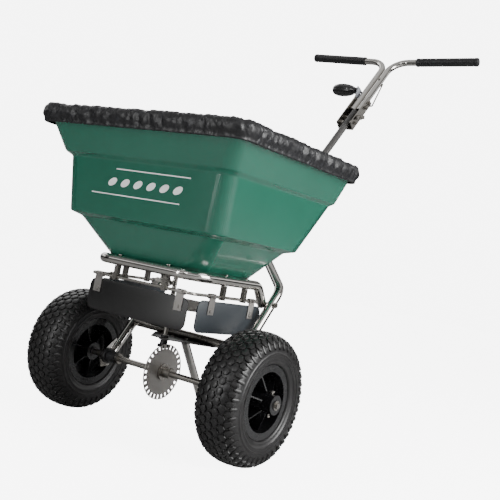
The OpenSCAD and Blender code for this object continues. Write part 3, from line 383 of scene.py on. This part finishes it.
for ring, (inset, height, outward, upward) in enumerate(RINGS):
    for step in range(COVER_STEPS):
        t = step / COVER_STEPS
        point, out = rim_point(t)
        if inset > FLAT_FROM:
            across = 1 - inset / COVER_HALF
            along = 1 - inset / ((COVER_FRONT + COVER_BACK) / 2)
            point = Vector((point.x * across, COVER_MIDDLE + (point.y - COVER_MIDDLE) * along, 0))
        else:
            point = point - out * inset
        gathers = fold(t, height * 26, 21.0, 3.0) * 0.55 + fold(t, height * 90, 52.0, 9.0) * 0.45
        broad = fold(t, inset * 12 + height * 30, 9.0, 17.0)
        folds = 1.35 * (0.65 * gathers + 0.35 * broad) - 0.12
        point = point + out * outward * (folds - 0.3)
        lift = upward * (folds - 0.2)
        if inset > FLAT_FROM:
            lift = upward * noise.noise(Vector((point.x * 22, point.y * 22, 4.0))) * 1.4
        verts.append((point.x, point.y + HOPPER_Y, height + lift))
for ring in range(len(RINGS) - 1):
    for step in range(COVER_STEPS):
        a = ring * COVER_STEPS + step
        b = ring * COVER_STEPS + (step + 1) % COVER_STEPS
        quads.append((a, a + COVER_STEPS, b + COVER_STEPS, b))
verts.append((0, COVER_MIDDLE + HOPPER_Y, RINGS[0][1]))
quads += [(len(verts) - 1, step, (step + 1) % COVER_STEPS) for step in range(COVER_STEPS)]
sheet = bpy.data.meshes.new("rain_cover")
sheet.from_pydata(verts, [], quads)
cover = bpy.data.objects.new("rain_cover", sheet)
bpy.context.scene.collection.objects.link(cover)
clear()
cover.select_set(True)
bpy.context.view_layer.objects.active = cover
bpy.ops.object.mode_set(mode="EDIT")
bpy.ops.mesh.select_all(action="SELECT")
bpy.ops.mesh.normals_make_consistent(inside=False)

nylon = Finish("cover_nylon", (0.010, 0.010, 0.012), roughness=0.34, coat=0.0)
creases = nylon.node("ShaderNodeTexNoise", {"noise_type": "RIDGED_MULTIFRACTAL"},
                     {"Vector": nylon.place, "Scale": 85.0, "Detail": 5.0, "Roughness": 0.6})
thread = nylon.cloud(900.0, 1.0)
# Painted light: the crease ridges of the cloth are coloured lighter as a painted highlight, and the
# valleys between them darker as painted shade
painted_crease_light = nylon.blend(creases, (0.006, 0.006, 0.007, 1), (0.030, 0.031, 0.036, 1))
cover_nylon = nylon.surface(painted_crease_light, 0.38 + 0.12 * thread, creases, 0.0026, 0.8)
settle(cover, cover_nylon, 180)
finish_with(cover, "SOLIDIFY", thickness=0.0008, offset=-1)
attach(cover, "cover")
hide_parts("hopper_cover")


# Tyres: pneumatic turf tyres. The carcass is turned from an outline, with raised rings on the
# sidewall, and close rows of six-sided studs and longer shoulder lugs are moulded on the tread.
def turned(name, outline, steps):
    """A closed outline of (radius, height) turned round the Z axis."""
    clear()
    bpy.ops.mesh.primitive_plane_add(size=0.001, location=(0, 0, 0))
    piece = start(name)
    bpy.ops.mesh.merge(type="CENTER")
    bpy.ops.transform.translate(value=(outline[0][0], 0, outline[0][1]))
    for before, after in zip(outline, outline[1:]):
        bpy.ops.mesh.extrude_region_move(TRANSFORM_OT_translate={
            "value": (after[0] - before[0], 0, after[1] - before[1])})
    bpy.ops.mesh.select_all(action="SELECT")
    bpy.ops.mesh.spin(steps=steps, angle=2 * math.pi, center=(0, 0, 0), axis=(0, 0, 1))
    bpy.ops.mesh.select_all(action="SELECT")
    bpy.ops.mesh.remove_doubles(threshold=0.00002)
    bpy.ops.mesh.normals_make_consistent(inside=False)
    bpy.ops.object.mode_set(mode="OBJECT")
    return piece


def put(piece, matrix):
    piece.matrix_world = matrix @ piece.matrix_world
    clear()
    piece.select_set(True)
    bpy.context.view_layer.objects.active = piece
    bpy.ops.object.transform_apply(location=True, rotation=True, scale=True)


def tread_at(a):
    """Radius and distance from the middle of the tread, at an angle round the section."""
    side = math.copysign(0.0550 * abs(math.sin(a)) ** 0.8, a)
    return 0.1275 + 0.034 * abs(math.cos(a)) ** 0.75, side


half_outline = [tread_at(math.radians(a)) for a in range(0, 88, 6)] + [
    (0.1265, 0.0556), (0.1225, 0.0562), (0.1215, 0.0572), (0.1190, 0.0572), (0.1180, 0.0558),
    (0.1120, 0.0548), (0.1105, 0.0556), (0.1085, 0.0555), (0.1075, 0.0542), (0.1010, 0.0520),
    (0.0975, 0.0515), (0.0945, 0.0495), (0.0930, 0.0460), (0.0935, 0.0415), (0.0782, 0.0410),
]
tyre_outline = ([(r, -x) for r, x in reversed(half_outline[1:])] + half_outline)
tyre_outline.append(tyre_outline[0])
carcass = turned("tyre_carcass", tyre_outline, 96)

studs = []
TREAD_ROWS = [
    # angle round the section, studs in the row, half width across, half length round, turned by
    (0, 42, 0.0092, 0.0103, 0.0),
    (13, 42, 0.0092, 0.0103, 0.5), (-13, 42, 0.0092, 0.0103, 0.5),
    (31, 42, 0.0092, 0.0103, 0.0), (-31, 42, 0.0092, 0.0103, 0.0),
    (52, 42, 0.0110, 0.0074, 0.5), (-52, 42, 0.0110, 0.0074, 0.5),
    (71, 42, 0.0125, 0.0050, 0.0), (-71, 42, 0.0125, 0.0050, 0.0),
]
for angle, count, across, round_it, turn in TREAD_ROWS:
    clear()
    bpy.ops.mesh.primitive_cylinder_add(vertices=6, radius=1, depth=0.006, location=(0, 0, 0),
                                        rotation=(0, 0, math.radians(30)))
    stud = start("stud")
    bpy.ops.transform.resize(value=(across, round_it, 1))
    pick(stud, faces=lambda face: face.normal.z > 0.9)
    bpy.ops.mesh.bevel(offset=0.0022, segments=2, affect="EDGES")
    bpy.ops.object.mode_set(mode="OBJECT")
    radius, side = tread_at(math.radians(angle))
    near, far = tread_at(math.radians(angle) - 0.12), tread_at(math.radians(angle) + 0.12)
    tilt = math.atan2(-(far[0] - near[0]), far[1] - near[1])
    rise = 0.0008 if abs(angle) < 60 else -0.0006
    put(stud, Matrix.Rotation(2 * math.pi * turn / count, 4, "X")
        @ Matrix.Translation((side, 0, radius)) @ Matrix.Rotation(tilt, 4, "Y")
        @ Matrix.Translation((0, 0, rise)))
    turner = bpy.data.objects.new("turner", None)
    turner.rotation_euler = (2 * math.pi / count, 0, 0)
    bpy.context.scene.collection.objects.link(turner)
    bpy.context.view_layer.update()
    finish_with(stud, "ARRAY", count=count, use_relative_offset=False, use_object_offset=True,
                offset_object=turner)
    bpy.data.objects.remove(turner)
    studs.append(stud)
put(carcass, Matrix.Rotation(math.pi / 2, 4, "Y"))
clear()
for stud in studs:
    stud.select_set(True)
carcass.select_set(True)
bpy.context.view_layer.objects.active = carcass
bpy.ops.object.join()

rubber = Finish("tyre_rubber", (0.008, 0.008, 0.008), roughness=0.4)
dust = rubber.cloud(30.0, 5.0)
tyre_rubber = rubber.surface(rubber.blend(dust, (0.004, 0.004, 0.004, 1), (0.014, 0.013, 0.013, 1)),
                             0.26 + 0.26 * dust, rubber.cloud(300.0, 3.0), 0.0003, 0.4)
for wheel in ("drive", "free"):
    low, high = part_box(wheel + "_tyre")
    clear()
    carcass.select_set(True)
    bpy.context.view_layer.objects.active = carcass
    bpy.ops.object.duplicate()
    tyre = bpy.context.active_object
    tyre.name = tyre.data.name = wheel + "_turf_tyre"
    tyre.location = (low + high) / 2
    settle(tyre, tyre_rubber, 40)
    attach(tyre, "drive" if wheel == "drive" else "free_wheel")
    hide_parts(wheel + "_tyre")
bpy.data.objects.remove(carcass)
dress("drive_rim free_rim", moulded("rim_black", (0.004, 0.004, 0.0045), 0.27, 200.0, 0.0002, 0.25))
dress("drive_inner_tube free_inner_tube", moulded("tube_rubber", (0.012, 0.012, 0.012), 0.6))


# Grips: soft vinyl sleeves pushed on the ends of the handlebars, with a round end cap, a raised
# collar at the inner end and fine ribs along the middle where the hand closes.
COLUMN_FOOT = Vector((0, 0.0, 0.547))
COLUMN_LEAN = math.radians(50.2 - 90)
on_column = Matrix.Translation(COLUMN_FOOT) @ Matrix.Rotation(COLUMN_LEAN, 4, "X")
grip_inner, grip_outer = Vector((0.012, 0, 0.941)), Vector((0.315, 0, 0.959))
grip_axis = (grip_outer - grip_inner).normalized()
GRIP_LENGTH, RIBS, RIB_PITCH = 0.218, 26, 0.0072
grip_outline = [
    # radius, distance from the inner end
    (0.0112, 0.0), (0.0146, 0.0), (0.0149, 0.0015), (0.0149, 0.0075), (0.0140, 0.0095),
]
for rib in range(RIBS):
    at = 0.014 + rib * RIB_PITCH
    grip_outline += [(0.0140, at), (0.0146, at + 0.0012),
                     (0.0146, at + 0.0042), (0.0140, at + 0.0054)]
grip_outline += [
    (0.0142, 0.204), (0.0149, 0.206), (0.0149, 0.2125), (0.0138, 0.216), (0.0105, 0.2178),
    (0.0001, GRIP_LENGTH), (0.0001, 0.2152), (0.0112, 0.2150), (0.0112, 0.0),
]
grip_vinyl = moulded("grip_vinyl", (0.006, 0.006, 0.007), 0.4, 500.0, 0.0003)
for side in ("right", "left"):
    grip = turned(f"{side}_hand_grip", grip_outline, 40)
    far = grip_outer + grip_axis * 0.003
    tip = Vector((0, 0, 1)).rotation_difference(grip_axis).to_matrix().to_4x4()
    place = Matrix.Translation(far - grip_axis * GRIP_LENGTH) @ tip
    flip = Matrix.Rotation(math.pi, 4, "Z") if side == "left" else Matrix.Identity(4)
    put(grip, on_column @ flip @ place)
    settle(grip, grip_vinyl, 40)
    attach(grip, "frame")
    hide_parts(f"grip_{side}")


# Lever knob: a long moulded handle like a small football, with flutes pressed in along it for
# the fingers and a collar at the lever.
low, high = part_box("lever_knob")
KNOB_LENGTH, KNOB_RADIUS = high.x - low.x - 0.0106, (high.z - low.z) / 2
KNOB_PROFILE = [
    # share of the radius, share of the length
    (0.005, 0.0), (0.32, 0.008), (0.58, 0.04), (0.79, 0.11), (0.92, 0.215), (0.99, 0.34),
    (1.0, 0.485), (0.95, 0.63), (0.84, 0.76),
    (0.68, 0.87), (0.54, 0.935), (0.52, 0.96),
    (0.52, 1.0), (0.2, 1.006),
]
knob_outline = [(KNOB_RADIUS * r, KNOB_LENGTH * along) for r, along in KNOB_PROFILE] + [
    (0.0040, KNOB_LENGTH + 0.0006), (0.0040, KNOB_LENGTH + 0.0100), (0.0001, KNOB_LENGTH + 0.0100)]
knob = turned("fluted_knob", knob_outline, 48)
bpy.ops.object.mode_set(mode="EDIT")
pick(knob, edges=lambda a, b: all(
    0.08 < v.z / KNOB_LENGTH < 0.83 and math.cos(8 * math.atan2(v.y, v.x)) > 0.6
    and v.xy.length > 0.4 * KNOB_RADIUS for v in (a, b)))
bpy.ops.transform.resize(value=(0.93, 0.93, 1), center_override=(0, 0, 0))
knob_at = Vector((low.x, (low.y + high.y) / 2, (low.z + high.z) / 2))
bpy.ops.object.mode_set(mode="OBJECT")
put(knob, Matrix.Translation(knob_at) @ Matrix.Rotation(math.pi / 2, 4, "Y"))
knob_black = moulded("knob_black", (0.005, 0.005, 0.006), 0.24, 90.0, 0.0002, 0.4)
settle(knob, knob_black, 50)
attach(knob, "lever")
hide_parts("lever_knob")


# Deflector flaps: cut from thick flexible sheet, with round corners. Each hangs on two straps
# from the rod under the hoop; the front one is black and the side ones are slate grey.
FLAP_HEIGHT, FLAP_THICKNESS = 0.080, 0.0036
# The front sheet is cut this much short at each end, so it swings in between the side sheets
FRONT_TRIM = 0.0045


def flap_sheet(name, body, half, middle, turn, material):
    clear()
    bpy.ops.mesh.primitive_plane_add(size=1)
    flap = start(name)
    bpy.ops.transform.resize(value=(2 * half, FLAP_HEIGHT, 1))
    bpy.ops.mesh.bevel(offset=0.020, segments=8, affect="VERTICES")
    bpy.ops.mesh.extrude_region_move(
        TRANSFORM_OT_translate={"value": (0, 0, FLAP_THICKNESS)})
    bpy.ops.mesh.select_all(action="SELECT")
    bpy.ops.mesh.normals_make_consistent(inside=False)
    bpy.ops.object.mode_set(mode="OBJECT")
    finish_with(flap, "BEVEL", width=0.0006, segments=2, limit_method="ANGLE")
    flap.matrix_world = (Matrix.Translation(middle) @ Matrix.Rotation(turn, 4, "Z")
                         @ Matrix.Rotation(math.pi / 2, 4, "X")
                         @ Matrix.Translation((0, 0, -FLAP_THICKNESS / 2)))
    settle(flap, material, 40)
    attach(flap, body)
    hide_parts(body)


flap_black = moulded("flap_black", (0.005, 0.005, 0.005), 0.4, 160.0, 0.0004)
flap_slate = moulded("flap_slate", (0.022, 0.027, 0.032), 0.42, 160.0, 0.0004)
for name, body, turn, material, slot in (
        ("front_sheet", "front_flap", 0.0, flap_black, "flap_rubber"),
        ("right_sheet", "right_flap", math.pi / 2, flap_slate, "flap_slate"),
        ("left_sheet", "left_flap", math.pi / 2, flap_slate, "flap_slate")):
    low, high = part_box(body)
    half = (high.y - low.y) / 2 if turn else (high.x - low.x) / 2 - FRONT_TRIM
    flap_sheet(name, body, half, (low + high) / 2, turn, material)


# Studio: a wide pale floor and soft white light from panels, one of them a narrow strip for the
# highlight on the hopper's corner, with dark cards that give the polished tubes their edges.
clear()
bpy.ops.mesh.primitive_plane_add(size=30, location=(0, 0, -0.0005))
floor = start("floor")
bpy.ops.object.mode_set(mode="OBJECT")
paper = Finish("paper", (0.86, 0.86, 0.86), roughness=0.9)
grain = paper.cloud(3.0)
seen = paper.node("ShaderNodeLightPath", output="Is Camera Ray")
paper.join(paper.shader.inputs["Emission Color"], (1, 1, 1, 1))
paper.join(paper.shader.inputs["Emission Strength"], seen * 6.6)
mirrored = paper.node("ShaderNodeLightPath", output="Is Glossy Ray")
pale = paper.blend(grain, (0.85, 0.85, 0.85, 1), (0.87, 0.87, 0.87, 1))
floor.data.materials.append(paper.surface(
    paper.blend(mirrored, pale, (0.42, 0.42, 0.42, 1)), 0.85 + 0.1 * grain))

world = bpy.data.worlds.new("studio")
bpy.context.scene.world = world
world.use_nodes = True
sky = world.node_tree
plain, banded = sky.nodes["Background"], sky.nodes.new("ShaderNodeBackground")
plain.inputs["Color"].default_value = (1, 1, 1, 1)
plain.inputs["Strength"].default_value = 0.26
bright = sky.nodes.new("ShaderNodeBackground")
bright.inputs["Strength"].default_value = 8.4
# Polished steel sees the room: a bright ceiling, a dark band of wall and a paler floor
look, up_down = sky.nodes.new("ShaderNodeTexCoord"), sky.nodes.new("ShaderNodeSeparateXYZ")
bands = sky.nodes.new("ShaderNodeValToRGB")
stops = [
    # share of the way from straight down to straight up, brightness
    (0.0, 0.45), (0.34, 0.10), (0.42, 0.02), (0.56, 0.03),
    (0.60, 0.6), (0.67, 2.0), (0.71, 0.06), (1.0, 0.9),
]
for place, tone in stops[2:]:
    bands.color_ramp.elements.new(place)
for stop, (place, tone) in zip(bands.color_ramp.elements, stops):
    stop.position, stop.color = place, (tone, tone, tone, 1)
half_up = sky.nodes.new("ShaderNodeMapRange")
half_up.inputs["From Min"].default_value = -1
sky.links.new(look.outputs["Generated"], up_down.inputs[0])
sky.links.new(up_down.outputs["Z"], half_up.inputs["Value"])
sky.links.new(half_up.outputs["Result"], bands.inputs["Fac"])
sky.links.new(bands.outputs["Color"], banded.inputs["Color"])
rays, for_gloss, for_eye = [sky.nodes.new(kind) for kind in (
    "ShaderNodeLightPath", "ShaderNodeMixShader", "ShaderNodeMixShader")]
sky.links.new(rays.outputs["Is Glossy Ray"], for_gloss.inputs["Fac"])
sky.links.new(plain.outputs[0], for_gloss.inputs[1])
sky.links.new(banded.outputs[0], for_gloss.inputs[2])
sky.links.new(rays.outputs["Is Camera Ray"], for_eye.inputs["Fac"])
sky.links.new(for_gloss.outputs[0], for_eye.inputs[1])
sky.links.new(bright.outputs[0], for_eye.inputs[2])
sky.links.new(for_eye.outputs[0], sky.nodes["World Output"].inputs["Surface"])

PANELS = [
    # place, aimed at, width, height, power
    ((2.6, 0.1, 1.3), (0, -0.2, 0.5), 1.7, 1.7, 120),
    ((0.9, -3.0, 2.2), (0, -0.3, 0.5), 0.7, 0.7, 9),
    ((-2.4, 0.8, 2.4), (0, 0, 0.7), 2.0, 2.0, 22),
    ((-0.30, -1.95, 0.75), (0, -0.3, 0.6), 0.05, 1.4, 10),
]
for place, aim, wide, tall, power in PANELS:
    lamp = bpy.data.lights.new("panel", "AREA")
    lamp.energy, lamp.shape, lamp.size, lamp.size_y = power, "RECTANGLE", wide, tall
    panel = bpy.data.objects.new("panel", lamp)
    panel.location = place
    panel.rotation_euler = (Vector(place) - Vector(aim)).to_track_quat("Z", "Y").to_euler()
    bpy.context.scene.collection.objects.link(panel)

card_black = moulded("card_black", (0.01, 0.01, 0.01), 0.9)
CARDS = [
    # place, turned, width, height
    ((-2.6, -1.9, 0.7), math.radians(-50), 1.2, 1.9),
    ((2.9, 1.1, 0.8), math.radians(70), 0.5, 1.9),
    ((1.0, -4.2, 1.0), math.radians(10), 0.7, 2.0),
]
for number, (place, turn, wide, tall) in enumerate(CARDS):
    clear()
    bpy.ops.mesh.primitive_plane_add(size=1)
    card = start(f"card_{number}")
    bpy.ops.transform.resize(value=(wide, tall, 1))
    bpy.ops.object.mode_set(mode="OBJECT")
    put(card, Matrix.Translation(place) @ Matrix.Rotation(turn, 4, "Z")
        @ Matrix.Rotation(math.pi / 2, 4, "X"))
    card.data.materials.append(card_black)
    card.visible_camera = False
    card.visible_shadow = False
    card.visible_diffuse = False


# Camera: low, in front and to the right, rolled so that the spreader leans back on its wheels
TURN, RISE, ROLL = math.radians(34.3), math.radians(-0.8), math.radians(10.8)
behind = Vector((math.sin(TURN) * math.cos(RISE), -math.cos(TURN) * math.cos(RISE), math.sin(RISE)))
right = Vector((math.cos(TURN), math.sin(TURN), 0))
up = (-behind).cross(right) * -1
rolled_right = right * math.cos(ROLL) + up * math.sin(ROLL)
rolled_up = -right * math.sin(ROLL) + up * math.cos(ROLL)
eye = Vector((1.4156, -1.7716 + HOPPER_Y, 0.4869))
lens = bpy.data.cameras.new("camera")
lens.lens = 62.4
camera = bpy.data.objects.new("camera", lens)
camera.matrix_world = Matrix((
    (rolled_right.x, rolled_up.x, behind.x, eye.x),
    (rolled_right.y, rolled_up.y, behind.y, eye.y),
    (rolled_right.z, rolled_up.z, behind.z, eye.z),
    (0, 0, 0, 1)))
bpy.context.scene.collection.objects.link(camera)
bpy.context.scene.camera = camera
